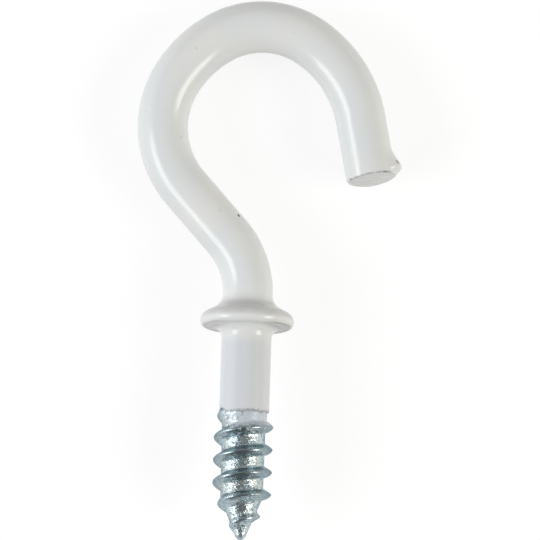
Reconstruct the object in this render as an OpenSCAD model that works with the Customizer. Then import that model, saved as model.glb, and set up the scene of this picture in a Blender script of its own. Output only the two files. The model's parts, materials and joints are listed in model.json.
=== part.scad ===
// Shouldered screw hook: a steel wire hook with an upset collar and a rolled wood-screw
// thread, dipped in white plastic down to the top of the thread.
// The hook is drawn upright, with the seat of its collar at z = 0, its point below and its
// eye in the XZ plane. lying() then lays it on its side as it comes to rest.

/* [Wire and coating] */
// Diameter of the bare steel wire
wire_d = 3.25; // [2.6:0.05:4]
// Thickness of the plastic coating
coat_t = 0.125; // [0.08:0.005:0.18]

/* [Collar] */
// Diameter over the coated collar
collar_d = 6.55; // [5.4:0.05:8]
// Height of the collar's widest point above its seat
rim_z = 0.42; // [0.3:0.01:0.6]
// Depth that the seat cuts off the round of the rim, which leaves a crease
rim_cut = 0.03; // [0:0.01:0.1]
// Radius of the rounded top of the collar
crown_r = 0.85; // [0.6:0.05:1.3]
// Radius of the hollow flare from the collar into the wire above it
flare_r = 1; // [0.5:0.05:1.4]
// Steepest slope of the collar's top, from the hook's axis
flare_slope = 63; // [50:1:75]
// Width of the flat ring that seats against the wall or the shelf
seat_flat_w = 0.38; // [0.25:0.01:0.6]

/* [Shank and thread] */
// Length of the coated plain shank below the seat
shank_l = 5.9; // [3:0.1:12]
// Length of the thread, with its point
thread_l = 9.1; // [6.5:0.1:20]
// Diameter over the crest of the thread
thread_d = 4.14; // [3.4:0.02:5]
// Step from the bare wire down to the thread's core
core_step = 0.125; // [0.11:0.005:0.2]
// Amount by which the core's radius shrinks from the shank to the point
core_taper = 0.03; // [0:0.005:0.08]
// Distance from one turn to the next
pitch = 1.59; // [1.2:0.01:1.8]
// Width of the ridge at its foot
ridge_foot_w = 0.98; // [0.7:0.01:1.1]
// Width of the flat along the ridge's crest
ridge_crest_w = 0.12; // [0.06:0.01:0.2]
// Length of the point
point_l = 3; // [2.2:0.1:4]

/* [Bends] */
// Radius of the bend at the neck, just above the collar
neck_r = 6.1; // [4:0.05:9]
// Angle of the bend at the neck
neck_angle = 42.3; // [30:0.1:50]
// Length of the straight stretch above the neck
neck_l = 4.45; // [2:0.05:8]
// Radius of the eye at its back, above the neck
back_r = 6.65; // [5:0.05:9]
// Angle of the eye's back
back_angle = 72.2; // [60:0.1:85]
// Radius of the eye between its back and its crown
shoulder_r = 8.35; // [5:0.05:10]
// Angle of that stretch
shoulder_angle = 28.4; // [20:0.1:40]
// Radius of the eye over its crown
crown_bend_r = 5.95; // [4.5:0.05:9]
// Angle of the eye's crown
crown_angle = 65; // [50:0.1:75]
// Radius of the eye on the side of its mouth
mouth_r = 8.5; // [5:0.05:11]
// Angle of the eye's mouth side
mouth_angle = 45; // [30:0.1:60]
// Length of the straight free end
end_l = 4.35; // [2:0.05:6]

/* [Sheared end] */
// Length of the lip that the shears drew out on the outer side of the end
lip_l = 1.15; // [0.8:0.05:1.5]
// Distance from the lip's edge back to the cut face
lip_back = 0.5; // [0.2:0.05:0.8]
// Distance that the lip stands out of the wire
lip_reach = 0.38; // [0.2:0.01:0.4]
// Radius of the lip at the end
lip_r = 0.8; // [0.7:0.05:1]

/* [Hidden] */
$fn = 64;

// Every second stretch of the wire is thinner by this much and runs on into its neighbours
seam_step = 0.01;
seam_lap = 0.1;
// Length of the tool that cuts the steel's space out of the coating, past the coating's edge
cut_past = 1;
// Angle between two points of an arc in the collar's outline
arc_step = 7;
// Steps in a turn of the thread, and the turns of its strip that the shank hides
turn_steps = 36;
hidden_turns = 1.2;
// Turn of the thread about its axis, and the turns over which its ridge grows
thread_angle = 64;
growing_turns = 0.5;
// Roundness of the point, where 1 is a straight cone, and its bare and its capped length
point_bulge = 0.62;
tip_bare = 0.3;
tip_cap = 0.05;
// Roll towards the back of the eye that brings the centre of mass over the two contacts
rest_roll = 0.55;
// Depth of the lip's foot in the wire
lip_sink = 0.1;

coated_r = wire_d / 2 + coat_t;
collar_r = collar_d / 2;
core_r = wire_d / 2 - core_step;

// The radii of the collar's top shrink together if the collar is too narrow for them
slope_part = 1 - cos(flare_slope);
top_fit = min(1, 0.95 * (collar_r - coated_r) / ((crown_r + flare_r) * slope_part));
crown_fit = crown_r * top_fit;
flare_fit = flare_r * top_fit;
slope_l = (collar_r - coated_r - (crown_fit + flare_fit) * slope_part) / sin(flare_slope);
collar_h = rim_z + (crown_fit + flare_fit) * sin(flare_slope) + slope_l * cos(flare_slope);

// The rim ends in a crease at the seat, and the hollow inside it takes what the flat
// ring leaves
rim_r = rim_z + rim_cut;
crease_r = collar_r - rim_r + sqrt(rim_r * rim_r - rim_z * rim_z);
hollow_r = crease_r - coated_r - seat_flat_w;

// The route of the wire above the collar: [radius, turn to the left] or [0, length]
route = [
  [neck_r, neck_angle],
  [0, neck_l],
  [back_r, -back_angle],
  [shoulder_r, -shoulder_angle],
  [crown_bend_r, -crown_angle],
  [mouth_r, -mouth_angle],
  [0, end_l]
];

function heading(a) = [cos(a), sin(a)];

function bend_centre(p, s) = [p[0], p[1]] + s[0] * heading(p[2] + 90 * sign(s[1]));

// Place and heading, [x, z, angle], at the end of the stretch s that starts at p
function stretch_end(p, s) =
  let (
    angle = s[0] == 0 ? p[2] : p[2] + s[1],
    end = s[0] == 0
      ? [p[0], p[1]] + s[1] * heading(angle)
      : bend_centre(p, s) - s[0] * heading(angle + 90 * sign(s[1]))
  )
  [end[0], end[1], angle];

function place(k) = k == 0 ? [0, collar_h, 90] : stretch_end(place(k - 1), route[k - 1]);

// Height of the wire's centreline where it passes over the eye
eye_top = max([
  for (k = [0:len(route) - 1])
    let (p = place(k), s = route[k])
    s[0] > 0 && p[2] > 0 && p[2] + s[1] < 0 ? bend_centre(p, s)[1] + s[0] : p[1]
]);

// On its side the hook rests on the collar's rounded rim and on the crown of its eye
rest_span = [collar_r - crown_fit, eye_top - rim_z];
rest_tilt = acos((coated_r - crown_fit) / norm(rest_span)) - atan2(rest_span[1], rest_span[0]);

// Points of an arc about c, from angle a to angle b
function arc_points(c, r, a, b) =
  let (n = max(2, ceil(abs(b - a) / arc_step)))
  [for (i = [0:n]) c + r * heading(a + (b - a) * i / n)];

// Half outline of shank and collar, inset from the coated surface, and run on by below
function turned_outline(inset, below) =
  let (
    rim = rim_r - inset,
    rim_drop = rim_z - inset
  )
  concat(
    [[0, -shank_l - below], [coated_r - inset, -shank_l - below]],
    arc_points([coated_r + hollow_r, -hollow_r], hollow_r + inset, 180, 90),
    arc_points([collar_r - rim_r, rim_z], rim, -asin(rim_drop / rim), -arc_step),
    arc_points([collar_r - crown_fit, rim_z], crown_fit - inset, 0, flare_slope),
    arc_points([coated_r + flare_fit, collar_h], flare_fit + inset, 180 + flare_slope, 180),
    [[0, collar_h]]
  );

// Stretch k of the wire, inset from the coated surface
module stretch(k, inset) {
  p = place(k);
  s = route[k];
  thin = k % 2 == 0;
  lap = thin ? seam_lap : 0;
  r = coated_r - inset - (thin ? seam_step : 0);
  if (s[0] == 0) {
    past = k == len(route) - 1 ? -inset : lap;
    translate([p[0], 0, p[1]])
      rotate([0, 90 - p[2], 0])
        translate([0, 0, -lap])
          cylinder(r = r, h = lap + s[1] + past);
  } else {
    centre = bend_centre(p, s);
    lap_angle = lap / s[0] * 180 / PI;
    first = p[2] - 90 * sign(s[1]) + min(0, s[1]) - lap_angle;
    rotate([90, 0, 0])
      translate([centre[0], centre[1], 0])
        rotate([0, 0, first])
          rotate_extrude(angle = abs(s[1]) + 2 * lap_angle)
            translate([s[0], 0])
              circle(r = r);
  }
}

// The lip on the outer side of the sheared end: a cone that grows out of the wire
module lip(inset) {
  p = place(len(route) - 1);
  foot_r = lip_r - lip_reach - lip_sink;
  translate([p[0], 0, p[1]])
    rotate([0, 90 - p[2], 0])
      translate([lip_r - lip_reach - coated_r, 0, end_l - lip_back - lip_l])
        cylinder(r1 = foot_r - inset, r2 = lip_r - inset, h = lip_l - inset);
}

// Everything above the thread, inset from the coated surface
module hook_form(inset, below) {
  rotate_extrude()
    polygon(turned_outline(inset, below));
  for (k = [0:len(route) - 1])
    stretch(k, inset);
  lip(inset);
}

// Radius of the thread's core at a distance t from the tip
function core_at(t) =
  t < point_l
    ? (core_r - core_taper) * pow(max(t, 0) / point_l, point_bulge)
    : core_r - core_taper * max(0, 1 - (t - point_l) / (thread_l - point_l));

// Height of the ridge over the core: full on the body, and dying out towards the tip
function ridge_at(t) =
  let (full = thread_d / 2 - core_at(max(t, point_l)))
  full * min(1, max(0, (t - tip_bare) / (point_l - tip_bare)));

// The thread is one strip wound down the core: its rows are steps of the turn and its
// columns are the foot of the ridge, its two crest edges and the root between turns
module thread() {
  n = turn_steps;
  crest_at = (ridge_foot_w - ridge_crest_w) / 2;
  columns = [
    [0, 0],
    [pitch - ridge_foot_w, 0],
    [pitch - ridge_foot_w + crest_at, 1],
    [pitch - crest_at, 1]
  ];
  m = len(columns);
  start = thread_l + hidden_turns * pitch;
  // Turns down to where the crest leaves the shank
  first = hidden_turns - 1 + ridge_foot_w / 2 / pitch;
  rows = floor((start - columns[m - 1][0] - tip_cap) / pitch * n);
  top = (rows + 1) * m;
  tip = top + 1;
  points = concat(
    [
      for (k = [0:rows])
        for (c = columns)
          let (
            t = start - pitch * k / n - c[0],
            grown = min(1, max(0, (k / n - first) / growing_turns)),
            r = core_at(t) + c[1] * grown * ridge_at(t)
          )
          [r * cos(360 * k / n), -r * sin(360 * k / n), t]
    ],
    [[0, 0, start + pitch], [0, 0, 0]]
  );
  strip = [
    for (k = [0:rows - 1])
      for (j = [0:m - 2])
        let (a = k * m + j)
        [a, a + 1, a + m + 1, a + m]
  ];
  seam = [
    for (k = [0:rows - n - 1])
      let (a = k * m + m - 1, b = (k + n) * m)
      [a, b, b + m, a + m]
  ];
  top_edge = concat([for (k = [0:n]) k * m], [for (j = [m - 1:-1:0]) j]);
  tip_edge = concat(
    [for (k = [rows - n:rows]) k * m + m - 1],
    [for (j = [m - 2:-1:0]) rows * m + j],
    [(rows - n) * m + m - 1]
  );
  polyhedron(
    points,
    concat(
      strip,
      seam,
      [for (i = [0:len(top_edge) - 2]) [top_edge[i], top_edge[i + 1], top]],
      [for (i = [0:len(tip_edge) - 2]) [tip_edge[i + 1], tip_edge[i], tip]]
    )
  );
}

module lying()
  rotate([0, -rest_roll, 0])
    rotate([-rest_tilt, 0, 0])
      rotate([-90, 0, 0])
        children();

module steel_hook()
  color("lightsteelblue")
    lying() {
      hook_form(coat_t, 0);
      translate([0, 0, -shank_l - thread_l])
        rotate([0, 0, thread_angle])
          thread();
    }

module plastic_coating()
  color("whitesmoke")
    lying()
      difference() {
        hook_form(0, 0);
        hook_form(coat_t, cut_past);
      }

steel_hook();
plastic_coating();
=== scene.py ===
"""Shouldered screw hook: the finished model of its steel and its white plastic coating.

The hook is drawn upright, with the seat of its collar at the origin, its point below and
its eye in the XZ plane, and is then laid on its side where the frame's collar seat is.
"""
import json
import math

import bmesh
import bpy
from bpy.props import FloatProperty, FloatVectorProperty, IntProperty, PointerProperty
from bpy.types import Operator, Panel, PropertyGroup
from mathutils import Matrix, Vector, noise


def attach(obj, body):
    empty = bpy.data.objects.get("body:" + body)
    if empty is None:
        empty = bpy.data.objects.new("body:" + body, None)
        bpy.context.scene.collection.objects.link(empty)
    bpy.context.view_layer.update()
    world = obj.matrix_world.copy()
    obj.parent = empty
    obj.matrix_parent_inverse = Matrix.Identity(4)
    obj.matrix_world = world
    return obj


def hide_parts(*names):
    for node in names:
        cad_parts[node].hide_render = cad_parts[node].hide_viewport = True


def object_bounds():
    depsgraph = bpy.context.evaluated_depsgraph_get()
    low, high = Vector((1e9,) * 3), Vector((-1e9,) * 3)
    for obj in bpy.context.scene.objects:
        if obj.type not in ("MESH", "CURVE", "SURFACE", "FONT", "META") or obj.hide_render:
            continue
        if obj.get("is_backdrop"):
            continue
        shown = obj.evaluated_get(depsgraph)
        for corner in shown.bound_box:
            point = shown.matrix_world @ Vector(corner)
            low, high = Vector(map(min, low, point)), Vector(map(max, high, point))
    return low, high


bl_info = {
    "name": "Coated Screw Hook",
    "version": (1, 0, 0),
    "blender": (4, 5, 0),
    "location": "3D View > Sidebar > Screw Hook",
    "description": "Builds a plastic-dipped screw hook and its studio on the packed frame",
    "category": "Object",
}

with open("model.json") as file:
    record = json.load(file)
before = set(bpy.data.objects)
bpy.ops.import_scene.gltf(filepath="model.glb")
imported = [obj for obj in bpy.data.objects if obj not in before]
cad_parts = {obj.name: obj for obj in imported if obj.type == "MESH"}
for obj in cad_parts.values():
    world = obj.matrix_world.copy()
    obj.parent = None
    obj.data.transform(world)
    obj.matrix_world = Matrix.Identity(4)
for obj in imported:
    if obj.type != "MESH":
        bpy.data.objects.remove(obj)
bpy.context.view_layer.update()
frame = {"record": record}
MM = 0.001
HOOK_AXIS = (0.0, 0.0, 1.0)
DOWN_AXIS = (0.0, 0.0, -1.0)
BEND_AXIS = (0.0, -1.0, 0.0)
FRONT = Vector((0.0, -1.0, 0.0))


def number(name, description, value, **settings):
    """A number property."""
    return FloatProperty(name=name, description=description, default=value, **settings)


def length(name, description, size):
    """A length property. Its size is given in millimetres."""
    return number(name, description, size * MM, subtype="DISTANCE", unit="LENGTH", precision=5)


def angle(name, description, degrees):
    """An angle property. Its size is given in degrees."""
    return number(name, description, math.radians(degrees), subtype="ANGLE", unit="ROTATION")


def colour(name, description, value):
    """A colour property."""
    kind = {"subtype": "COLOR", "size": 3, "min": 0.0, "max": 1.0}
    return FloatVectorProperty(name=name, description=description, default=value, **kind)


class HookWire(PropertyGroup):
    """The coated wire and its bends, from the collar to the free end."""

    coated_d: length("Coated Wire", "Diameter over the plastic", 3.5)
    coat_t: length("Coating", "Thickness of the plastic", 0.125)
    neck_r: length("Neck Radius", "Radius of the bend above the collar", 6.1)
    neck_angle: angle("Neck Angle", "Angle of the bend above the collar", 42.18)
    neck_l: length("Neck Length", "Straight stretch above the neck bend", 4.48)
    back_r: length("Back Radius", "Radius of the eye above the neck", 6.65)
    back_angle: angle("Back Angle", "Angle of the eye's back", 72.2)
    shoulder_r: length("Shoulder Radius", "Radius between the back and the crown", 8.35)
    shoulder_angle: angle("Shoulder Angle", "Angle of that stretch", 28.4)
    crown_r: length("Crown Radius", "Radius of the eye over its crown", 5.98)
    crown_angle: angle("Crown Angle", "Angle of the eye's crown", 65.0)
    mouth_r: length("Mouth Radius", "Radius of the eye beside its mouth", 8.5)
    mouth_angle: angle("Mouth Angle", "Angle of the eye's mouth side", 45.0)
    end_l: length("Free End", "Straight stretch before the sheared end", 4.35)
    swell: length("Crown Swell", "Extra radius of the coating over the crown", 0.065)
    segments: IntProperty(
        name="Segments",
        description="Faces around the wire, and steps in a turn of the thread",
        default=96,
        min=24,
        max=192,
    )


class HookCollar(PropertyGroup):
    """The upset collar and the coated shank under it."""

    collar_d: length("Collar", "Diameter over the coated collar", 6.55)
    rim_z: length("Rim Height", "Height of the widest point over the seat", 0.42)
    rim_r: length("Rim Radius", "Radius of the rim under its widest point", 0.45)
    crown_r: length("Top Radius", "Radius of the rounded top", 0.72)
    flare_r: length("Flare Radius", "Radius of the hollow flare into the wire", 1.109)
    flare_slope: angle("Flare Slope", "Steepest slope of the collar's top", 62.0)
    seat_w: length("Seat Width", "Width of the flat ring that seats", 0.46)
    shank_l: length("Shank", "Length of the coated plain shank", 5.9)
    front_run: length("Front Run", "Further reach of the coating at the front", 0.2)


class HookThread(PropertyGroup):
    """The rolled wood-screw thread and its point."""

    thread_l: length("Thread", "Length of the thread with its point", 9.1)
    crest_r: length("Crest Radius", "Radius over the crest of the ridge", 2.07)
    core_r: length("Core Radius", "Radius of the core under the shank", 1.54)
    core_taper: length("Core Taper", "Loss of the core's radius along its length", 0.06)
    pitch: length("Pitch", "Distance from one turn to the next", 1.59)
    foot_w: length("Ridge Foot", "Width of the ridge at its foot", 0.86)
    crest_round: length("Crest Rounding", "Radius of the ridge's rounded crest", 0.16)
    nose_r: length("Nose Radius", "Radius of the point's blunt nose", 0.26)
    point_l: length("Point", "Length of the point", 3.0)
    film_t: length("Film", "Thickness of the plastic that ran over the first turn", 0.07)
    start_angle: angle("Start Angle", "Turn of the thread about its axis", 59.0)


class HookEnd(PropertyGroup):
    """The sheared free end and its lip."""

    front_cut: length("Front Cut", "Set-back of the cut's front edge", 0.16)
    rear_cut: length("Rear Cut", "Overhang of the cut's rear edge", 0.15)
    edge_r: length("Edge Radius", "Radius of the sharp front edge", 0.06)
    rolled_r: length("Rolled Radius", "Radius of the edge that the shears rolled in", 0.33)
    lip_reach: length("Lip Reach", "Distance that the lip stands out of the wire", 0.56)
    lip_back: length("Lip Set-Back", "Distance from the lip back to the cut", 0.61)
    lip_l: length("Lip Length", "Length of the flare that ends in the lip", 1.4)
    lip_angle: angle("Lip Spread", "Half angle of the lip around the wire", 50.0)


class HookFinish(PropertyGroup):
    """Colours of the finished surfaces."""

    plastic: colour("Plastic", "White of the plastic", (0.815, 0.82, 0.805))
    plastic_cool: colour("Cool Plastic", "Cooler cast in the plastic", (0.78, 0.805, 0.81))
    plastic_lean: colour("Lean Plastic", "Thinner plastic on the shank", (0.71, 0.735, 0.765))
    # Grime and painted shade: darkens the hollow over the collar, and the plastic under the collar as
    # painted shade
    plastic_grime_and_shade: colour("Grimy Plastic", "Grime round the collar", (0.43, 0.43, 0.42))
    # Thin plastic on the cut edge, and also a painted shadow line along the coating's lower edge
    plastic_thin_and_shadow: colour("Thin Plastic", "Plastic drawn thin on an edge", (0.24, 0.265, 0.29))
    plastic_cut: colour("Sheared Plastic", "Score marks on the cut end", (0.70, 0.725, 0.675))
    speck: colour("Speck", "Dark specks in the plastic", (0.02, 0.02, 0.025))
    zinc: colour("Zinc", "Plated steel", (0.54, 0.65, 0.695))
    zinc_warm: colour("Warm Zinc", "Warmer cast in the plating", (0.61, 0.665, 0.655))
    # Colour of the pits, and also of the painted shade on the thread's ridges
    zinc_pit_and_shade: colour("Pitted Zinc", "Plating in its pits", (0.225, 0.29, 0.32))
    zinc_edge: colour("Zinc Edge", "Tint of the plating's edge-on shine", (0.5, 0.57, 0.61))
    film: colour("Film", "Thin plastic over the first turn", (0.64, 0.69, 0.76))
    floor: colour("Floor", "Studio floor", (0.36, 0.36, 0.36))
    floor_seen: colour("Seen Floor", "Studio floor under its lift", (0.22, 0.22, 0.22))
    floor_lift: number("Floor Lift", "Strength that makes the floor show white", 0.83, min=0.0, max=1.0)


class HookStudio(PropertyGroup):
    """Camera, lamps, sky and floor."""

    view_tilt: angle("View Tilt", "Camera's tilt towards the point of the hook", 9.8)
    view_roll: angle("View Roll", "Lean of the hook in the picture", 1.8)
    view_w: length("View Width", "Width of the picture at the hook", 37.69)
    aim_x: length("Aim Across", "Picture's centre, across the shank", 1.488)
    aim_z: length("Aim Along", "Picture's centre, along the shank", 4.134)
    lens: number("Lens", "Focal length in millimetres", 1200.0, min=50.0, max=2000.0)
    lamp_angle: angle("Lamp Angle", "Angle of the lamps from the camera's axis", 57.0)
    lamp_drop: angle("Lamp Drop", "Shift of the lamps towards the point of the hook", 16.0)
    lamp_distance: length("Lamp Distance", "Distance of the lamps", 900.0)
    lamp_w: length("Lamp Width", "Width of a lamp", 350.0)
    lamp_l: length("Lamp Length", "Length of a lamp", 640.0)
    left_power: number("Left Power", "Power of the left lamp", 3.7, min=0.0, unit="POWER")
    right_power: number("Right Power", "Power of the right lamp", 4.7, min=0.0, unit="POWER")
    dim_sky: number("Dim Sky", "Strength of the sky all over", 0.155, min=0.0)
    far_sky: number("Far Sky", "Strength that the sky gains beyond the eye of the hook", 0.36, min=0.0)
    left_sky: number("Left Sky", "Strength that the sky gains low on the left", 1.65, min=0.0)
    right_sky: number("Right Sky", "Strength that the sky gains low on the right", 0.5, min=0.0)


# ---------------- shape helpers

# Vertices this close are one vertex, or lie in one ring
WELD = 2e-7
TURN_WELD = 1e-6
SLIVER = 1e-8
SAME_HEIGHT = 1e-7
SAME_RADIUS = 2e-6
# The stretch of the wire that the shears worked, with closer rings
WORKED_L = 2.2 * MM
# Distance between the rings of the steel's wire, and its end's distance inside the plastic
CORE_STEP = 0.8 * MM
CORE_BACK = 0.25 * MM


def smooth(low, high, x):
    """Rises smoothly from 0 at low to 1 at high."""
    t = min(1.0, max(0.0, (x - low) / (high - low)))
    return t * t * (3.0 - 2.0 * t)


def ramp(limits, x):
    """Rises smoothly from 0 to 1 between two limits, which are in millimetres."""
    low, high = limits
    return smooth(low * MM, high * MM, x)


def ramps(steps, x):
    """Sum of ramps, each given as its share and its two limits."""
    return sum(share * ramp(limits, x) for share, *limits in steps)


def bell(x, width):
    """A bell curve, 1 at nought."""
    return math.exp(-((x / width) ** 2))


def heading(a):
    """Unit vector in the plane of the eye, at the angle a from +X."""
    return Vector((math.cos(a), 0.0, math.sin(a)))


def around(co):
    """Angle of a point around the axis of the shank, from +X."""
    return math.atan2(co.y, co.x)


def stand(place, right, up, back):
    """Matrix that puts a thing in a place, with its X, Y and Z in the given directions."""
    return Matrix.Translation(place) @ Matrix((right, up, back)).transposed().to_4x4()


def lying():
    """Lays the upright hook on its side, where the frame has the collar's seat."""
    seat = next(m for m in frame["record"]["mounts"] if m["name"] == "collar_seat")
    up = -Vector(seat["axis"]).normalized()
    across = Vector((-up.z, 0.0, up.x)).normalized()
    return stand(Vector(seat["pos_m"]), across, up.cross(across), up)


def draw_on(bm, geom, step=(0, 0, 0), centre=(0, 0, 0), axis=BEND_AXIS, **turn):
    """Draws geometry on, along a line and round an axis, and returns what it ends in."""
    return bmesh.ops.spin(bm, geom=geom, cent=centre, axis=axis, dvec=step, **turn)["geom_last"]


def draw_line(bm, vert, offset, steps=1):
    """Draws a line on from a vertex and returns its end."""
    return draw_on(bm, [vert], Vector(offset) / steps, angle=0.0, steps=steps)[0]


def draw_arc(bm, vert, centre, turn, steps):
    """Draws an arc on from a vertex and returns its end."""
    return draw_on(bm, [vert], centre=centre, angle=turn, steps=steps)[0]


def parts_of(geom):
    """The vertices and the edges in what a bmesh operator returned."""
    verts = [g for g in geom if isinstance(g, bmesh.types.BMVert)]
    edges = [g for g in geom if isinstance(g, bmesh.types.BMEdge)]
    return verts, edges


def extrude_ring(bm, edges):
    """Extrudes a ring of edges in place and returns the new ring's vertices and edges."""
    return parts_of(bmesh.ops.extrude_edge_only(bm, edges=edges)["geom"])


def collar_sizes(hook, collar):
    """Heights and lengths of the collar's outline, over the plastic."""
    slope = collar.flare_slope
    wire_r = hook.coated_d / 2
    reach = collar.collar_d / 2 - wire_r
    radii = collar.crown_r + collar.flare_r
    slope_l = (reach - radii * (1.0 - math.cos(slope))) / math.sin(slope)
    top = collar.rim_z + radii * math.sin(slope) + slope_l * math.cos(slope)
    crease = math.sqrt(collar.rim_r**2 - collar.rim_z**2)
    crease_r = collar.collar_d / 2 - collar.rim_r + crease
    hollow = crease_r - wire_r - collar.seat_w
    return {"top": top, "slope_l": slope_l, "hollow": hollow}


def turned_skin(bm, hook, collar, inset, bottom, fine=1):
    """Turns shank and collar, inset from the plastic's outside, up from the height bottom.
    Returns the vertices of the lowest and the highest ring."""
    edge_step = 0.14 * MM
    shank_step = 0.35 * MM
    sizes = collar_sizes(hook, collar)
    wire_r = hook.coated_d / 2
    collar_r = collar.collar_d / 2
    hollow = sizes["hollow"]
    slope = collar.flare_slope
    rim = collar.rim_r - inset
    rim_angle = math.asin((collar.rim_z - inset) / rim)
    first = bmesh.ops.create_vert(bm, co=(wire_r - inset, 0.0, bottom))["vert"][0]
    at = draw_line(bm, first, (0, 0, edge_step))
    rise = -hollow - at.co.z
    at = draw_line(bm, at, (0, 0, rise), steps=max(4, int(rise / shank_step)))
    at = draw_arc(bm, at, (wire_r + hollow, 0, -hollow), -math.pi / 2, steps=10 * fine)
    rim_centre = Vector((collar_r - collar.rim_r, 0.0, collar.rim_z))
    rim_start = rim_centre + rim * heading(-rim_angle)
    at = draw_line(bm, at, rim_start - at.co, steps=3)
    at = draw_arc(bm, at, rim_centre, rim_angle, steps=9 * fine)
    crown_centre = (collar_r - collar.crown_r, 0.0, collar.rim_z)
    at = draw_arc(bm, at, crown_centre, slope, steps=8 * fine)
    down = heading(slope + math.pi / 2)
    at = draw_line(bm, at, down * sizes["slope_l"], steps=3 * fine)
    flare_centre = (wire_r + collar.flare_r, 0.0, sizes["top"])
    last = draw_arc(bm, at, flare_centre, -slope, steps=8 * fine)
    low = first.co.copy()
    high = last.co.copy()
    outline = list(bm.edges) + list(bm.verts)
    draw_on(bm, outline, axis=HOOK_AXIS, angle=2 * math.pi, steps=hook.segments, use_merge=True)
    return ring_at(bm, low.z), ring_at(bm, high.z, low.x)


def ring_at(bm, z, radius=None):
    """The ring of vertices at a height, or at a height and a radius."""
    ring = [v for v in bm.verts if abs(v.co.z - z) < SAME_HEIGHT]
    if radius is not None:
        ring = [v for v in ring if abs(v.co.xy.length - radius) < SAME_RADIUS]
    return ring


def ring_edges(ring):
    """The edges that join the vertices of one ring."""
    members = set(ring)
    return [e for v in ring for e in v.link_edges if e.other_vert(v) in members and e.verts[0] == v]


def run_of(stretch):
    """Length of a stretch of the wire."""
    _, _, radius, turn = stretch
    return turn if radius == 0.0 else radius * abs(turn)


def hub_of(stretch):
    """Centre of a stretch's bend."""
    place, ahead, radius, turn = stretch
    return place + heading(ahead + math.copysign(math.pi / 2, turn)) * radius


def on_stretch(stretch, run):
    """The wire's centre and heading at a distance along one of its stretches."""
    place, ahead, radius, turn = stretch
    if radius == 0.0:
        return place + heading(ahead) * run, ahead
    now = ahead + math.copysign(run / radius, turn)
    return hub_of(stretch) - heading(now + math.copysign(math.pi / 2, turn)) * radius, now


def route(hook, top):
    """Each stretch of the wire: start, heading, radius and turn, or length if straight."""
    stretches = (
        (hook.neck_r, hook.neck_angle),
        (0.0, hook.neck_l),
        (hook.back_r, -hook.back_angle),
        (hook.shoulder_r, -hook.shoulder_angle),
        (hook.crown_r, -hook.crown_angle),
        (hook.mouth_r, -hook.mouth_angle),
        (0.0, hook.end_l),
    )
    place = Vector((0.0, 0.0, top))
    ahead = math.pi / 2
    found = []
    for radius, turn in stretches:
        found.append((place, ahead, radius, turn))
        place, ahead = on_stretch(found[-1], run_of(found[-1]))
    return found


def even_cuts(run, step):
    """Equal steps, none longer than the given one, that make up a run."""
    count = math.ceil(run / step)
    return [run / count] * count if count else []


def wire_skin(bm, ring, hook, top, step, end_step):
    """Draws the wire on from the collar's top ring, along its bends. Returns its rings:
    vertices, centre, heading and distance from the collar."""
    rings = [(ring, Vector((0.0, 0.0, top)), math.pi / 2, 0.0)]
    geom = ring_edges(ring) + ring
    travelled = 0.0
    stretches = route(hook, top)
    for stretch in stretches:
        _, ahead, radius, turn = stretch
        run = run_of(stretch)
        worked = min(run, WORKED_L) if stretch is stretches[-1] else 0.0
        done = 0.0
        for cut in even_cuts(run - worked, step) + even_cuts(worked, end_step):
            if radius == 0.0:
                last = draw_on(bm, geom, heading(ahead) * cut, angle=0.0, steps=1)
            else:
                bend = math.copysign(cut / radius, turn)
                last = draw_on(bm, geom, centre=hub_of(stretch), angle=bend, steps=1)
            verts, edges = parts_of(last)
            geom = verts + edges
            done += cut
            travelled += cut
            rings.append((verts, *on_stretch(stretch, done), travelled))
    return rings


def close_ring(bm, ring, centre, shares, lift=(0.0, 0.0, 0.0)):
    """Closes a ring with rings drawn in to the given shares of its size and a last point,
    lifts the middle, and returns the vertices of each."""
    edges = ring_edges(ring)
    previous = 1.0
    drawn = []
    for share in shares:
        verts, edges = extrude_ring(bm, edges)
        for v in verts:
            v.co = centre + (v.co - centre) * (share / previous)
        previous = share
        drawn.append(verts)
    face = bmesh.ops.edgeloop_fill(bm, edges=edges)["faces"]
    drawn.append(bmesh.ops.poke(bm, faces=face)["verts"])
    for verts, share in zip(drawn, (*shares, 0.0)):
        for v in verts:
            v.co += Vector(lift) * (1.0 - share)
    return drawn


def add_core(bm, hook, collar, bottom):
    """Adds the steel's shank, collar and wire to a mesh, from the height bottom up, and
    returns the edges of their open lower ring."""
    top = collar_sizes(hook, collar)["top"]
    core = bmesh.new()
    _, high = turned_skin(core, hook, collar, hook.coat_t, bottom)
    verts, centre, ahead, _ = wire_skin(core, high, hook, top, CORE_STEP, CORE_STEP)[-1]
    back = heading(ahead) * (hook.coat_t + CORE_BACK)
    for v in verts:
        v.co -= back
    close_ring(core, verts, centre - back, shares=(0.8, 0.4))
    mesh = bpy.data.meshes.new("hook_core")
    core.to_mesh(mesh)
    core.free()
    before = set(bm.edges)
    bm.from_mesh(mesh)
    bpy.data.meshes.remove(mesh)
    return [e for e in bm.edges if e not in before and e.is_boundary]


def linked(thing):
    """Links a new object to the scene and returns it."""
    bpy.context.scene.collection.objects.link(thing)
    return thing


def new_object(bm, name, material):
    """Turns a mesh under construction into an object."""
    mesh = bpy.data.meshes.new(name)
    bm.to_mesh(mesh)
    bm.free()
    mesh.materials.append(material)
    return linked(bpy.data.objects.new(name, mesh))


def finish_mesh(bm, name, material):
    """Makes the finished, lying object of one piece."""
    bmesh.ops.remove_doubles(bm, verts=bm.verts, dist=WELD)
    bmesh.ops.dissolve_degenerate(bm, edges=bm.edges, dist=SLIVER)
    bmesh.ops.recalc_face_normals(bm, faces=bm.faces)
    for f in bm.faces:
        f.smooth = True
    bmesh.ops.transform(bm, matrix=lying(), verts=bm.verts)
    piece = new_object(bm, name, material)
    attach(piece, "root")
    return piece


# ---------------- the steel

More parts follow.
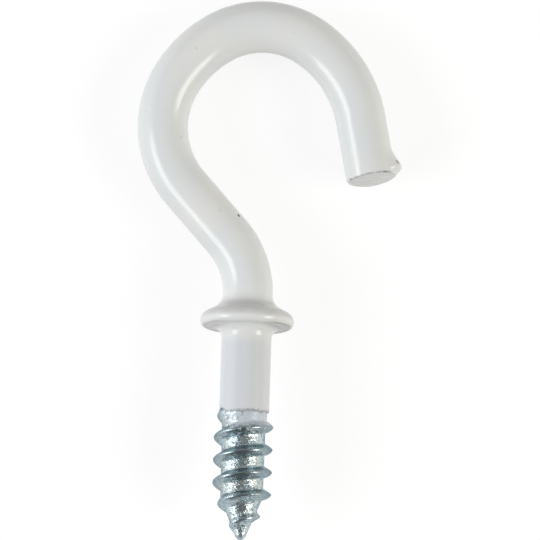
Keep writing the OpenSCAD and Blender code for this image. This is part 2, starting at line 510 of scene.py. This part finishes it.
# The film of plastic on the thread: turn of its middle and its half angles in degrees,
# drop of the ridge under it, and shares of it between two heights over that ridge
FILM_TURN = -35.0
FILM_SPREAD = (60.0, 132.0)
FILM_DROP = 1.26
FILM_STEPS = ((0.62, 0.06, 0.32), (0.38, -0.75, -0.3))
# Shares by which the ridge grows and gets sharper between two heights over the tip, and
# the distances under the shank between which it rises, in millimetres
TIP_GROWTH = ((0.7, 0.1, 1.9), (0.3, 2.5, 3.3))
TIP_SHARPNESS = ((0.8, 3.2, 1.4),)
RUN_OUT = (-0.1, 0.62)


def core_at(thread, t):
    """Radius of the thread's core at a height t over the tip."""
    full = thread.core_r - thread.core_taper
    if t < thread.point_l:
        rise = max(t, 0.0) / thread.point_l
        sunk = 1.0 - min(1.0, max(t, 0.0) / thread.nose_r)
        return (thread.nose_r + (full - thread.nose_r) * rise) * math.sqrt(1.0 - sunk * sunk)
    along = (t - thread.point_l) / (thread.thread_l - thread.point_l)
    return full + thread.core_taper * min(1.0, along)


def ridge_profile(thread, flank_steps, root_steps):
    """Columns of one pitch: distance down from its top and share of the ridge's height."""
    half = thread.foot_w / 2
    root = thread.pitch - thread.foot_w
    columns = [(root * i / root_steps, 0.0) for i in range(root_steps)]
    blunt = thread.crest_round / half
    crowding = 1.3
    upper_curve = 0.95
    lower_curve = 0.64
    for i in range(2 * flank_steps + 1):
        u = i / flank_steps - 1.0
        at = math.copysign(abs(u) ** crowding, u)
        drop = math.hypot(at, blunt) - blunt
        drop /= math.hypot(1.0, blunt) - blunt
        curve = upper_curve if u < 0.0 else lower_curve
        columns.append((root + half * (1.0 + at), (1.0 - drop) ** curve))
    return columns


def film_share(collar, thread, a, z):
    """How much plastic covers the steel, at the angle a and the height z."""
    turned = math.remainder(a - math.radians(FILM_TURN), 2 * math.pi)
    covered = 1.0 - smooth(*FILM_SPREAD, math.degrees(abs(turned)))
    ridge_z = -collar.shank_l - FILM_DROP * MM + thread.pitch * turned / (2 * math.pi)
    return covered * ramps(FILM_STEPS, z - ridge_z)


def thread_skin(bm, hook, collar, thread):
    """Winds the thread's strip from the shank down to the point and returns its top ring."""
    steps = hook.segments
    turns_above = 1.2
    turns_below = 0.1
    overlap = 0.45 * MM
    ripple = 0.02 * MM
    ripple_round = 2.0
    ripple_along = 1.7
    ripple_seed = 3.1
    film_from = 0.4
    crest_sheds = 0.45
    start = thread.thread_l + turns_above * thread.pitch
    rows = int((start / thread.pitch + turns_below) * steps)
    columns = ridge_profile(thread, flank_steps=8, root_steps=5)
    share_layer = bm.verts.layers.float.new("ridge")
    crest_layer = bm.verts.layers.float.new("crest")
    crest_down = thread.pitch - thread.foot_w / 2
    at = bmesh.ops.create_vert(bm, co=(1.0, 0.0, start))["vert"][0]
    at[crest_layer] = -crest_down
    for (down, _), (further, share) in zip(columns, columns[1:]):
        at = draw_line(bm, at, (0.0, 0.0, down - further))
        at[share_layer] = share
        at[crest_layer] = further - crest_down
    turn = Matrix.Rotation(thread.start_angle, 3, "Z")
    bmesh.ops.rotate(bm, cent=(0, 0, 0), matrix=turn, verts=bm.verts)
    strip = list(bm.edges) + list(bm.verts)
    sink = (0.0, 0.0, -thread.pitch / steps)
    draw_on(bm, strip, sink, axis=DOWN_AXIS, angle=2 * math.pi * rows / steps, steps=rows)
    bmesh.ops.remove_doubles(bm, verts=bm.verts, dist=TURN_WELD)
    tip_z = -thread.thread_l - collar.shank_l
    top = thread.thread_l + overlap
    for v in bm.verts:
        t = v.co.z
        if t <= 0.0:
            v.co = (0.0, 0.0, tip_z)
            v[share_layer] = 0.0
            continue
        a = around(v.co)
        z = t + tip_z
        full = thread.crest_r - core_at(thread, max(t, thread.point_l))
        share = v[share_layer] ** (1.0 + ramps(TIP_SHARPNESS, t))
        grown = ramp(RUN_OUT, thread.thread_l - t - v[crest_layer])
        v[share_layer] = share * grown * ramps(TIP_GROWTH, t)
        place = Vector((a * ripple_round, z / MM * ripple_along, ripple_seed))
        full += ripple * noise.noise(place)
        film = thread.film_t * smooth(film_from, 1.0, film_share(collar, thread, a, z))
        r = core_at(thread, t) + v[share_layer] * full + film * (1.0 - crest_sheds * share)
        v.co = (r * math.cos(a), r * math.sin(a), min(t, top) + tip_z)
    bmesh.ops.remove_doubles(bm, verts=bm.verts, dist=TURN_WELD)
    return ring_at(bm, top + tip_z)


def build_steel(scene):
    """The steel: thread, core, shank, collar and bent wire, in one piece.

    The ring that joins the thread to the core, under the plastic, isn't wholly closed.
    """
    hook = scene.hook_wire
    collar = scene.hook_collar
    thread = scene.hook_thread
    core_foot = -collar.shank_l + 0.6 * MM
    film_top = -collar.shank_l + 0.3 * MM
    bm = bmesh.new()
    top_ring = thread_skin(bm, hook, collar, thread)
    add_core(bm, hook, collar, core_foot)
    low_ring = ring_at(bm, core_foot, hook.coated_d / 2 - hook.coat_t)
    bmesh.ops.bridge_loops(bm, edges=ring_edges(top_ring) + ring_edges(low_ring))
    film = bm.verts.layers.float.new("film")
    for v in bm.verts:
        if v.co.z < film_top:
            v[film] = film_share(collar, thread, around(v.co), v.co.z)
    return finish_mesh(bm, "steel_hook_fine", zinc_plating(scene))


# ---------------- the plastic

# Wear of the cut's edge: where it comes on, and where shares of it go off again, in
# degrees from the outside of the bend towards the front
WORN_ON = (28.0, 46.0)
WORN_OFF = ((0.3, 60.0, 72.0), (0.9, 150.0, 168.0))
# Roundings of the edge, in millimetres, between which its plastic gets thin
THIN_ROLL = (0.2, 0.1)
# Heights in millimetres where grime, painted shade and lean plastic come on: in the hollow (grime and
# painted shade), from its top and from the rim, and under the collar (painted shade), from the seat
HOLLOW_TOP = (-0.38, -0.86)
HOLLOW_FOOT = (-0.08, 0.26)
UNDER_TOP = (0.16, -0.02)
UNDER_FOOT = (-0.6, -0.2)
LEAN_TOP = (-0.5, -1.6)
# Distances in millimetres, out from the axis and to either side, where the painted shade under the
# collar comes on
UNDER_REACH = (1.9, 2.4)
SIDE_REACH = (0.9, 2.4)
# Raggedness of the lower edge: waves by height in millimetres, fineness and seed, and
# chips by angle and width in degrees and height in millimetres
EDGE_WAVES = ((0.09, 3.0, 0.7), (0.05, 9.0, 4.2), (0.03, 24.0, 9.1))
EDGE_CHIPS = ((203.0, 12.0, 0.2), (229.0, 9.0, -0.1))


def lip_height(end, t, a):
    """Height of the end's lip over the wire, t past the cut and at the angle a."""
    full = 0.25
    flare_curve = 1.45
    fall = 1.2
    fall_curve = 1.4
    blend = 0.4
    spread = 1.0 - smooth(full, 1.0, abs(a) / end.lip_angle)
    flare = max(0.0, 1.0 - (-t - end.lip_back) / end.lip_l) ** flare_curve
    drawn_in = 1.0 - fall * max(0.0, 1.0 + t / end.lip_back) ** fall_curve
    part = min(1.0, max(0.0, 0.5 + 0.5 * (drawn_in - flare) / blend))
    share = drawn_in + (flare - drawn_in) * part - blend * part * (1.0 - part)
    return end.lip_reach * spread * share


def cut_edge(end, a):
    """How far past the cut its edge is at the angle a, and the edge's rounding."""
    outer_cut = 0.03 * MM
    rear_roll = 0.1 * MM
    rolled_at = math.radians(25.0)
    rolled_from = 0.45
    side_from = 0.2
    cut = -0.5 * (end.front_cut - end.rear_cut)
    cut -= 0.5 * (end.front_cut + end.rear_cut) * math.sin(a)
    cut -= outer_cut * smooth(side_from, 1.0, math.cos(a))
    rolled = smooth(rolled_from, 1.0, -math.cos(a - rolled_at))
    roll = end.edge_r + (end.rolled_r - end.edge_r) * rolled
    roll += rear_roll * smooth(side_from, 1.0, -math.sin(a))
    return cut, roll


def worn_at(a):
    """How far the cut's edge is worn at the angle a."""
    worn = smooth(*WORN_ON, math.degrees(a))
    for share, *limits in WORN_OFF:
        worn *= 1.0 - share * smooth(*limits, math.degrees(a))
    return worn


def shape_end(bm, hook, end, rings, thin, sheared):
    """Shapes the sheared end: a tilted, slightly domed cut, a rolled inner edge, a sharp
    front edge and the lip, and marks where the plastic is thin or sheared."""
    worn_back = 0.06 * MM
    worn_behind = 0.6
    rounds = 6
    bare_rounds = 2
    dome = 0.05 * MM
    dome_rings = (0.96, 0.85, 0.65, 0.4, 0.16)
    ring, centre, ahead, travelled = rings[-1]
    along = heading(ahead)
    outward = heading(ahead + math.pi / 2)
    radius = hook.coated_d / 2

    def angles(ring, middle):
        """The vertices of a ring, with their angles from the outside towards the front."""
        offsets = [(v, v.co - middle) for v in ring]
        return [(v, math.atan2(d.dot(FRONT), d.dot(outward))) for v, d in offsets]

    for worked, middle, _, distance in rings[:-1]:
        back = travelled - distance
        if back > WORKED_L:
            continue
        for v, a in angles(worked, middle):
            cut, roll = cut_edge(end, a)
            t = -back + (cut - roll) * (1.0 - back / WORKED_L)
            across = (v.co - middle).normalized()
            v.co = centre + along * t + across * (radius + lip_height(end, t, a))
            if back < worn_back:
                v[thin] = worn_behind * worn_at(a) * ramp(THIN_ROLL, roll)
    edges = ring_edges(ring)
    for i in range(rounds + 1):
        if i > 0:
            ring, edges = extrude_ring(bm, edges)
        turn = math.pi / 2 * i / rounds
        for v, a in angles(ring, centre):
            cut, roll = cut_edge(end, a)
            across = outward * math.cos(a) + FRONT * math.sin(a)
            t = cut - roll * (1.0 - math.sin(turn))
            base = radius + lip_height(end, cut - roll, a)
            v.co = centre + along * t + across * (base - roll * (1.0 - math.cos(turn)))
            v[thin] = worn_at(a) * (1.0 if i > rounds - bare_rounds else ramp(THIN_ROLL, roll))
    middle = sum((v.co for v in ring), Vector()) / len(ring)
    for ring in close_ring(bm, ring, middle, dome_rings, along * dome):
        for v in ring:
            v[sheared] = 1.0
            v[thin] = 0.0


def make_uneven(hook, rings):
    """Swells the wire's coating over the crown and gives it its slight waves."""
    swell_at = 0.57
    swell_w = 0.19
    wave_h = 0.006 * MM
    wave_l = 2.6 * MM
    waves_on = (0.0, 0.1)
    radius = hook.coated_d / 2
    for ring, centre, _, distance in rings:
        share = distance / rings[-1][3]
        grow = 1.0 + hook.swell * bell(share - swell_at, swell_w) / radius
        for v in ring:
            wave = noise.noise(v.co / wave_l) * wave_h * smooth(*waves_on, share)
            v.co = centre + (v.co - centre) * (grow + wave / radius)


def mark_collar(bm, hook, collar, grime, lean):
    """Marks grime and painted shade in the hollow over the collar, painted shade under the collar that
    is stronger to the sides and on the right, and the lean plastic of the shank.
    """
    hollow_grime_and_shade = 0.4
    under_shade = 0.07
    right_shade = 1.3
    left_shade = 0.8
    top = collar_sizes(hook, collar)["top"]
    for v in bm.verts:
        z = v.co.z
        reach = v.co.xy.length
        if reach >= hook.coated_d or z >= top:
            continue
        hollow = ramp(HOLLOW_TOP, z - top) * ramp(HOLLOW_FOOT, z - collar.rim_z)
        # Painted shade under the collar, stronger towards the sides and more on the right
        under = ramp(UNDER_TOP, z) * ramp(UNDER_FOOT, z) * ramp(UNDER_REACH, reach)
        side = right_shade if v.co.x > 0.0 else left_shade
        under *= under_shade + side * ramp(SIDE_REACH, abs(v.co.x))
        v[grime] = hollow_grime_and_shade * hollow + under
        v[lean] = ramp(LEAN_TOP, z)


def ragged_edge(collar, a):
    """Height of the coating's lower edge over the foot of the shank, at the angle a."""
    edge = -collar.front_run * max(0.0, -math.sin(a))
    for height, fine, seed in EDGE_WAVES:
        place = Vector((math.cos(a) * fine, math.sin(a) * fine, seed))
        edge += height * MM * noise.noise(place)
    for middle, width, height in EDGE_CHIPS:
        away = math.remainder(a - math.radians(middle), 2 * math.pi)
        edge += height * MM * bell(away, math.radians(width))
    return edge


def roll_hem(bm, hook, collar, thread, low, thin, lean):
    """Makes the lower edge ragged, rolls it in to the thread's core, and returns the edges
    that it ends in."""
    ragged_l = 2.0 * MM
    on_shank = 1.01
    roll = 0.05 * MM
    core = thread.core_r + 0.01 * MM
    edge_thin_and_shadow = 0.75
    roll_thin_and_shadow = 0.85
    rounds = 5
    radius = hook.coated_d / 2
    for v in bm.verts:
        rise = v.co.z + collar.shank_l
        if rise < ragged_l and v.co.xy.length < radius * on_shank and v.co.z < 0.0:
            v.co.z += ragged_edge(collar, around(v.co)) * (1.0 - rise / ragged_l)
    # Thin plastic and a painted shadow line: the lower edge and its rolled rings are marked thin
    for v in low:
        v[thin] = edge_thin_and_shadow
    edges = ring_edges(low)
    for i in range(1, rounds + 1):
        verts, edges = extrude_ring(bm, edges)
        turn = math.pi / 2 * i / rounds
        r = core if i == rounds else radius - roll * (1.0 - math.cos(turn))
        for v in verts:
            a = around(v.co)
            z = ragged_edge(collar, a) - collar.shank_l - roll * math.sin(turn)
            v.co = (r * math.cos(a), r * math.sin(a), z)
            v[thin] = roll_thin_and_shadow
            v[lean] = 1.0
    return edges


def build_coating(scene):
    """The plastic: a closed skin over wire, collar and shank, open round the thread."""
    hook = scene.hook_wire
    collar = scene.hook_collar
    step = 0.3 * MM
    end_step = 0.05 * MM
    lining_foot = -collar.shank_l + 0.7 * MM
    bm = bmesh.new()
    layers = bm.verts.layers.float
    grime, lean, thin, sheared = map(layers.new, ("grime", "lean", "thin", "sheared"))
    low, high = turned_skin(bm, hook, collar, 0.0, -collar.shank_l, fine=2)
    rings = wire_skin(bm, high, hook, collar_sizes(hook, collar)["top"], step, end_step)
    make_uneven(hook, rings)
    shape_end(bm, hook, scene.hook_end, rings, thin, sheared)
    mark_collar(bm, hook, collar, grime, lean)
    edges = roll_hem(bm, hook, collar, scene.hook_thread, low, thin, lean)
    edges += add_core(bm, hook, collar, lining_foot)
    bmesh.ops.bridge_loops(bm, edges=edges)
    return finish_mesh(bm, "plastic_coating_fine", dipped_plastic(scene))


# ---------------- materials


def feed(tree, node, values):
    """Sets or links a node's inputs, by name or number, and returns the node."""
    for key, value in values.items():
        if isinstance(value, bpy.types.NodeSocket):
            tree.links.new(value, node.inputs[key])
        else:
            node.inputs[key].default_value = value
    return node


def add(tree, kind, values=None, **settings):
    """Adds a shader node with its settings and inputs."""
    node = tree.nodes.new("ShaderNode" + kind)
    for key, value in settings.items():
        setattr(node, key, value)
    return feed(tree, node, values or {})


def blend_colours(tree, share, first, second):
    """Mixes two colours and returns the socket of the result."""
    pair = [c if isinstance(c, bpy.types.NodeSocket) else (*c, 1.0) for c in (first, second)]
    values = {0: share, 6: pair[0], 7: pair[1]}
    return add(tree, "Mix", values, data_type="RGBA").outputs[2]


def math_node(tree, operation, *values, clamp=False):
    """Does a sum with values or sockets and returns the socket of the result."""
    values = dict(enumerate(values))
    return add(tree, "Math", values, operation=operation, use_clamp=clamp).outputs[0]


def fit(tree, value, low=0.0, high=1.0, first=0.0, last=1.0, kind="LINEAR"):
    """Fits the range from low to high to the range from first to last."""
    values = {"Value": value, "From Min": low, "From Max": high, "To Min": first, "To Max": last}
    return add(tree, "MapRange", values, interpolation_type=kind).outputs[0]


def bumped(tree, height, strength, depth):
    """Normals of a bumpy surface. Its depth is in millimetres."""
    values = {"Strength": strength, "Distance": depth * MM, "Height": height}
    return add(tree, "Bump", values).outputs[0]


def marked(tree, layer):
    """The value that a layer of the mesh holds."""
    return add(tree, "Attribute", attribute_name=layer).outputs["Fac"]


def here(tree):
    """The place on the object."""
    return add(tree, "TexCoord").outputs["Object"]


def new_group(name, values, output):
    """An empty node group with inputs for some values, its inputs, and the socket for its
    result."""
    group = bpy.data.node_groups.new(name, "ShaderNodeTree")
    for label, value in values.items():
        kind = "NodeSocketFloat" if isinstance(value, float) else "NodeSocketVector"
        socket = group.interface.new_socket(name=label, in_out="INPUT", socket_type=kind)
        socket.default_value = value
    group.interface.new_socket(name=output, in_out="OUTPUT", socket_type="NodeSocketFloat")
    given = group.nodes.new("NodeGroupInput").outputs
    return group, given, group.nodes.new("NodeGroupOutput").inputs[0]


def mottle_group(name, values):
    """Cloudy unevenness: noise at a size, stretched between two levels."""
    group, given, result = new_group(name, values, "Value")
    values = {"Vector": here(group), "Rotation": given["Turn"], "Scale": given["Stretch"]}
    place = add(group, "Mapping", values)
    per_metre = math_node(group, "DIVIDE", 1.0 / MM, given["Size"])
    values = {"Vector": place.outputs[0], "Scale": per_metre, "Detail": given["Detail"]}
    cloud = add(group, "TexNoise", values)
    level = fit(group, cloud.outputs[0], given["Low"], given["High"])
    group.links.new(level, result)
    return group


def speck_group(name, values):
    """A small round speck at a point, with a soft rim."""
    rim = 0.45
    group, given, result = new_group(name, values, "Mask")
    values = {0: here(group), 1: given["Place"]}
    away = add(group, "VectorMath", values, operation="DISTANCE")
    share = math_node(group, "DIVIDE", away.outputs["Value"], given["Radius"])
    fade = fit(group, share, rim, 1.0, 1.0, 0.0)
    group.links.new(math_node(group, "MULTIPLY", fade, given["Strength"]), result)
    return group


def place_group(tree, name, make, values):
    """Places a node group, which is made once, and returns the socket of its result."""
    group = bpy.data.node_groups.get(name) or make(name, values)
    return add(tree, "Group", values, node_tree=group).outputs[0]


def mottle(tree, size, detail=2.0, low=0.35, high=0.65, stretch=(1.0, 1.0, 1.0), turn=0.0):
    """Places the mottle. Its size is in millimetres, and turn is about Y, in degrees."""
    values = {"Size": size, "Detail": detail, "Low": low, "High": high, "Stretch": stretch}
    values["Turn"] = (0.0, math.radians(turn), 0.0)
    return place_group(tree, "Mottle", mottle_group, values)


def new_material(name):
    """A material with one Principled shader, and its tree and shader."""
    material = bpy.data.materials.new(name)
    material.use_nodes = True
    tree = material.node_tree
    return material, tree, tree.nodes["Principled BSDF"]


SPECKS = (
    # Distance along the wire from the collar, angle in degrees from the right of its
    # heading towards the front, radius, darkness and distance from its middle, in mm
    (4.97, 33.0, 0.17, 0.97, 1.75),
    (5.97, 69.0, 0.1, 0.16, 1.75),
    (12.5, 48.0, 0.11, 0.16, 1.75),
    (14.4, 132.0, 0.1, 0.14, 1.75),
    (19.6, 93.0, 0.1, 0.2, 1.79),
    (27.0, 81.0, 0.1, 0.16, 1.75),
    (27.9, 147.0, 0.12, 0.22, 1.75),
    (38.43, 160.0, 0.24, 0.5, 2.13),
)


def speck_places(hook, top):
    """Places of the specks on the lying coating, with their radius and darkness."""
    places = []
    for distance, degrees, radius, darkness, height in SPECKS:
        left = distance * MM
        for stretch in route(hook, top):
            if left <= run_of(stretch):
                break
            left -= run_of(stretch)
        centre, ahead = on_stretch(stretch, left)
        a = math.radians(degrees)
        out = heading(ahead - math.pi / 2) * math.cos(a) + FRONT * math.sin(a)
        places.append((lying() @ (centre + out * height * MM), radius * MM, darkness))
    return places


def dipped_plastic(scene):
    """Glossy white plastic: a faint cast, a shallow orange peel, specks, grime and painted shade round
    the collar, and thin edges with a painted shadow line along the lower edge.
    """
    finish = scene.hook_finish
    hook = scene.hook_wire
    score_depth = 0.3
    material, tree, shader = new_material("Dipped White Plastic")
    cast = mottle(tree, 4.5, low=0.38, high=0.62)
    base = blend_colours(tree, cast, finish.plastic, finish.plastic_cool)
    base = blend_colours(tree, marked(tree, "lean"), base, finish.plastic_lean)
    patches = mottle(tree, 0.8, detail=3.0, low=-0.4, high=0.55)
    scores = mottle(tree, 0.25, detail=3.0, stretch=(0.15, 1.0, 1.0), turn=22.0)
    breaks = mottle(tree, 0.3, detail=4.0, low=0.2, high=0.6)
    settled_and_shaded = math_node(tree, "MULTIPLY", marked(tree, "grime"), patches, clamp=True)
    scored = math_node(tree, "MULTIPLY", marked(tree, "sheared"), scores, clamp=True)
    bare = math_node(tree, "MULTIPLY", marked(tree, "thin"), breaks, clamp=True)
    # Grime and painted shade in the hollow over the collar, and painted shade under the collar
    base = blend_colours(tree, settled_and_shaded, base, finish.plastic_grime_and_shade)
    base = blend_colours(tree, scored, base, finish.plastic_cut)
    # Thin plastic on the cut edge, and a painted shadow line along the lower edge
    base = blend_colours(tree, bare, base, finish.plastic_thin_and_shadow)
    for place, radius, darkness in speck_places(hook, collar_sizes(hook, scene.hook_collar)["top"]):
        values = {"Place": place, "Radius": radius, "Strength": darkness}
        speck = place_group(tree, "Speck", speck_group, values)
        base = blend_colours(tree, speck, base, finish.speck)
    peel = mottle(tree, 1.3, low=0.0, high=1.0)
    height = math_node(tree, "MULTIPLY_ADD", scored, score_depth, peel)
    values = {
        "Base Color": base,
        "Roughness": fit(tree, peel, first=0.16, last=0.26),
        "Normal": bumped(tree, height, strength=0.3, depth=0.04),
        "IOR": 1.5,
    }
    feed(tree, shader, values)
    return material


def zinc_plating(scene):
    """Bright zinc on rolled steel: lumps, pits, a bluish cast, painted shade on the ridges, and plastic
    run over it.
    """
    finish = scene.hook_finish
    ragged = 1.1
    thinned = -0.6
    film_hides = 0.9
    film_smooths = 0.7
    ridge_shade_share = 0.75
    crest_calm = 0.75
    pit_height = 0.6
    lump_height = 1.8
    mark_height = 0.8
    material, tree, shader = new_material("Zinc Plated Steel")
    clouds = mottle(tree, 0.3, detail=4.0, low=0.3, high=0.7)
    edge = math_node(tree, "MULTIPLY_ADD", clouds, ragged, thinned)
    cover = math_node(tree, "ADD", marked(tree, "film"), edge)
    cover = fit(tree, cover, 0.3, 0.85, last=film_hides, kind="SMOOTHSTEP")
    bare = math_node(tree, "SUBTRACT", 1.0, cover, clamp=True)
    ridge = marked(tree, "ridge")
    cast = mottle(tree, 0.8, low=0.38, high=0.62)
    pits = mottle(tree, 0.15, low=0.34, high=0.5)
    lumps = mottle(tree, 0.5, low=0.3, high=0.7)
    marks = mottle(tree, 0.12, low=0.3, high=0.7, stretch=(0.25, 1.0, 0.25))
    base = blend_colours(tree, cast, finish.zinc, finish.zinc_warm)
    base = blend_colours(tree, pits, finish.zinc_pit_and_shade, base)
    # Painted shade: the ridges are darkened towards the pit colour
    ridge_shade = math_node(tree, "MULTIPLY", ridge, ridge_shade_share, clamp=True)
    base = blend_colours(tree, ridge_shade, base, finish.zinc_pit_and_shade)
    base = blend_colours(tree, cover, base, finish.film)
    height = math_node(tree, "MULTIPLY", lumps, lump_height)
    height = math_node(tree, "MULTIPLY_ADD", pits, pit_height, height)
    height = math_node(tree, "MULTIPLY_ADD", marks, mark_height, height)
    kept = math_node(tree, "MULTIPLY_ADD", bare, film_smooths, 1.0 - film_smooths)
    calm = math_node(tree, "MULTIPLY_ADD", ridge, -crest_calm, 1.0, clamp=True)
    height = math_node(tree, "MULTIPLY", height, math_node(tree, "MULTIPLY", kept, calm))
    values = {
        "Base Color": base,
        "Metallic": bare,
        "Roughness": fit(tree, pits, first=0.4, last=0.27),
        "Specular Tint": (*finish.zinc_edge, 1.0),
        "Normal": bumped(tree, height, strength=0.95, depth=0.02),
    }
    feed(tree, shader, values)
    return material


def studio_paper(scene):
    """Matt pale floor that shows white, with the hook's faint shadow."""
    finish = scene.hook_finish
    grain_shade = 0.98
    material, tree, shader = new_material("Studio Paper")
    grain = mottle(tree, 30.0, low=0.3, high=0.7)
    shaded = [grain_shade * c for c in finish.floor]
    base = blend_colours(tree, grain, finish.floor, shaded)
    rays = add(tree, "LightPath").outputs
    seen = math_node(tree, "MAXIMUM", rays["Is Camera Ray"], rays["Is Glossy Ray"])
    seen = math_node(tree, "MAXIMUM", seen, rays["Is Transmission Ray"])
    values = {
        "Base Color": blend_colours(tree, seen, base, finish.floor_seen),
        "Roughness": 1.0,
        "Specular IOR Level": 0.0,
        "Emission Color": (1.0, 1.0, 1.0, 1.0),
        "Emission Strength": math_node(tree, "MULTIPLY", seen, finish.floor_lift),
    }
    feed(tree, shader, values)
    return material


# ---------------- the studio


def build_floor(scene):
    """The round floor that the hook lies on."""
    bm = bmesh.new()
    bmesh.ops.create_circle(bm, cap_ends=True, radius=2.5, segments=96)
    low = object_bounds()[0][2]
    bmesh.ops.translate(bm, vec=(0.0, 0.0, low), verts=bm.verts)
    floor = new_object(bm, "studio_floor", studio_paper(scene))
    floor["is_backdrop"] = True


def build_world(scene):
    """A dim sky, brighter low on both sides and beyond the eye, and white as a backdrop."""
    studio = scene.hook_studio
    world = bpy.data.worlds.new("Studio Sky")
    world.use_nodes = True
    tree = world.node_tree
    place = add(tree, "TexCoord").outputs["Generated"]
    parts = add(tree, "SeparateXYZ", {0: place}).outputs
    # Each glow's direction, where in it the glow starts and is full, its strength and tint
    glows = (
        (parts["Y"], 0.0, 0.9, studio.far_sky, (1.0, 1.0, 0.98)),
        (parts["X"], -0.57, -1.0, studio.left_sky, (1.0, 1.0, 1.01)),
        (parts["X"], 0.6, 1.0, studio.right_sky, (1.0, 0.85, 0.55)),
    )
    total = (studio.dim_sky,) * 3
    for way, start, full, strength, tint in glows:
        level = fit(tree, way, start, full, last=strength, kind="SMOOTHSTEP")
        values = {0: tint, "Scale": level}
        glow = add(tree, "VectorMath", values, operation="SCALE").outputs[0]
        values = {0: total, 1: glow}
        total = add(tree, "VectorMath", values, operation="ADD").outputs[0]
    seen = add(tree, "LightPath").outputs["Is Camera Ray"]
    sky = blend_colours(tree, seen, total, (1.0, 1.0, 1.0))
    feed(tree, tree.nodes["Background"], {"Color": sky})
    scene.world = world


def view_axes(studio):
    """Right, up and towards-the-camera directions over the lying hook, and the point at
    the picture's centre."""
    tilt = studio.view_tilt
    roll = studio.view_roll
    across = Vector((1.0, 0.0, 0.0))
    along = Vector((0.0, -math.sin(tilt), math.cos(tilt)))
    towards = Vector((0.0, -math.cos(tilt), -math.sin(tilt)))
    right = across * math.cos(roll) + along * math.sin(roll)
    up = along * math.cos(roll) - across * math.sin(roll)
    turn = lying().to_3x3()
    aim = lying() @ Vector((studio.aim_x, 0.0, studio.aim_z))
    return turn @ right, turn @ up, turn @ towards, aim


def build_camera(scene):
    """The camera, far over the hook."""
    studio = scene.hook_studio
    right, up, towards, aim = view_axes(studio)
    data = bpy.data.cameras.new("studio_camera")
    data.sensor_width = 36.0
    data.lens = studio.lens
    data.clip_start = 0.01
    data.clip_end = 20.0
    distance = studio.view_w * studio.lens / data.sensor_width
    camera = linked(bpy.data.objects.new("studio_camera", data))
    camera.matrix_world = stand(aim + towards * distance, right, up, towards)
    scene.camera = camera


def build_lamps(scene):
    """A large lamp on either side of the hook."""
    studio = scene.hook_studio
    right, _, towards, aim = view_axes(studio)
    hook_up = (lying().to_3x3() @ Vector(HOOK_AXIS)).normalized()
    towards = (towards - hook_up * towards.dot(hook_up)).normalized()
    right = (right - hook_up * right.dot(hook_up)).normalized()
    sides = (
        ("left", -1.0, studio.left_power, (0.97, 0.99, 1.0)),
        ("right", 1.0, studio.right_power, (1.0, 0.985, 0.95)),
    )
    for name, side, power, tint in sides:
        data = bpy.data.lights.new("lamp_" + name, "AREA")
        data.shape = "RECTANGLE"
        data.size = studio.lamp_w
        data.size_y = studio.lamp_l
        data.energy = power
        data.color = tint
        a = studio.lamp_angle
        out = towards * math.cos(a) + right * math.sin(a) * side
        out = out * math.cos(studio.lamp_drop) - hook_up * math.sin(studio.lamp_drop)
        across = hook_up.cross(out).normalized()
        lamp = linked(bpy.data.objects.new("lamp_" + name, data))
        lamp.matrix_world = stand(aim + out * studio.lamp_distance, across, out.cross(across), out)
        lamp.visible_camera = False


# ---------------- the add-on


class HOOK_OT_steel(Operator):
    """Build the zinc-plated steel hook with its wood-screw thread"""

    bl_idname = "hook.build_steel"
    bl_label = "Build Steel Hook"
    bl_options = {"REGISTER", "UNDO"}

    def execute(self, context):
        piece = build_steel(context.scene)
        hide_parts("steel_hook")
        return {"FINISHED"}


class HOOK_OT_coating(Operator):
    """Build the white plastic coating over wire, collar and shank"""

    bl_idname = "hook.build_coating"
    bl_label = "Build Plastic Coating"
    bl_options = {"REGISTER", "UNDO"}

    def execute(self, context):
        piece = build_coating(context.scene)
        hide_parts("plastic_coating")
        return {"FINISHED"}


class HOOK_OT_studio(Operator):
    """Build the floor, the sky, the lamps and the camera"""

    bl_idname = "hook.build_studio"
    bl_label = "Build Studio"
    bl_options = {"REGISTER", "UNDO"}

    def execute(self, context):
        scene = context.scene
        scene.view_settings.view_transform = "Standard"
        build_floor(scene)
        build_world(scene)
        build_camera(scene)
        build_lamps(scene)
        return {"FINISHED"}


SETTINGS = {
    "hook_wire": HookWire,
    "hook_collar": HookCollar,
    "hook_thread": HookThread,
    "hook_end": HookEnd,
    "hook_finish": HookFinish,
    "hook_studio": HookStudio,
}


class HOOK_PT_panel(Panel):
    """Sizes and colours of the screw hook, and its build steps"""

    bl_idname = "HOOK_PT_panel"
    bl_label = "Screw Hook"
    bl_space_type = "VIEW_3D"
    bl_region_type = "UI"
    bl_category = "Screw Hook"

    def draw(self, context):
        layout = self.layout
        for step in (HOOK_OT_steel, HOOK_OT_coating, HOOK_OT_studio):
            layout.operator(step.bl_idname)
        for name, group in SETTINGS.items():
            box = layout.box()
            box.label(text=group.__doc__)
            settings = getattr(context.scene, name)
            for key in group.__annotations__:
                box.prop(settings, key)


CLASSES = (*SETTINGS.values(), HOOK_OT_steel, HOOK_OT_coating, HOOK_OT_studio, HOOK_PT_panel)


def register():
    """Registers the classes and gives the scene its settings."""
    for cls in CLASSES:
        bpy.utils.register_class(cls)
    for name, group in SETTINGS.items():
        setattr(bpy.types.Scene, name, PointerProperty(type=group))


def unregister():
    """Takes the settings and the classes away again."""
    for name in SETTINGS:
        delattr(bpy.types.Scene, name)
    for cls in reversed(CLASSES):
        bpy.utils.unregister_class(cls)


def main():
    """Builds the steel, the plastic coating and the studio."""
    register()
    bpy.ops.hook.build_steel()
    bpy.ops.hook.build_coating()
    bpy.ops.hook.build_studio()


if __name__ == "__main__":
    main()
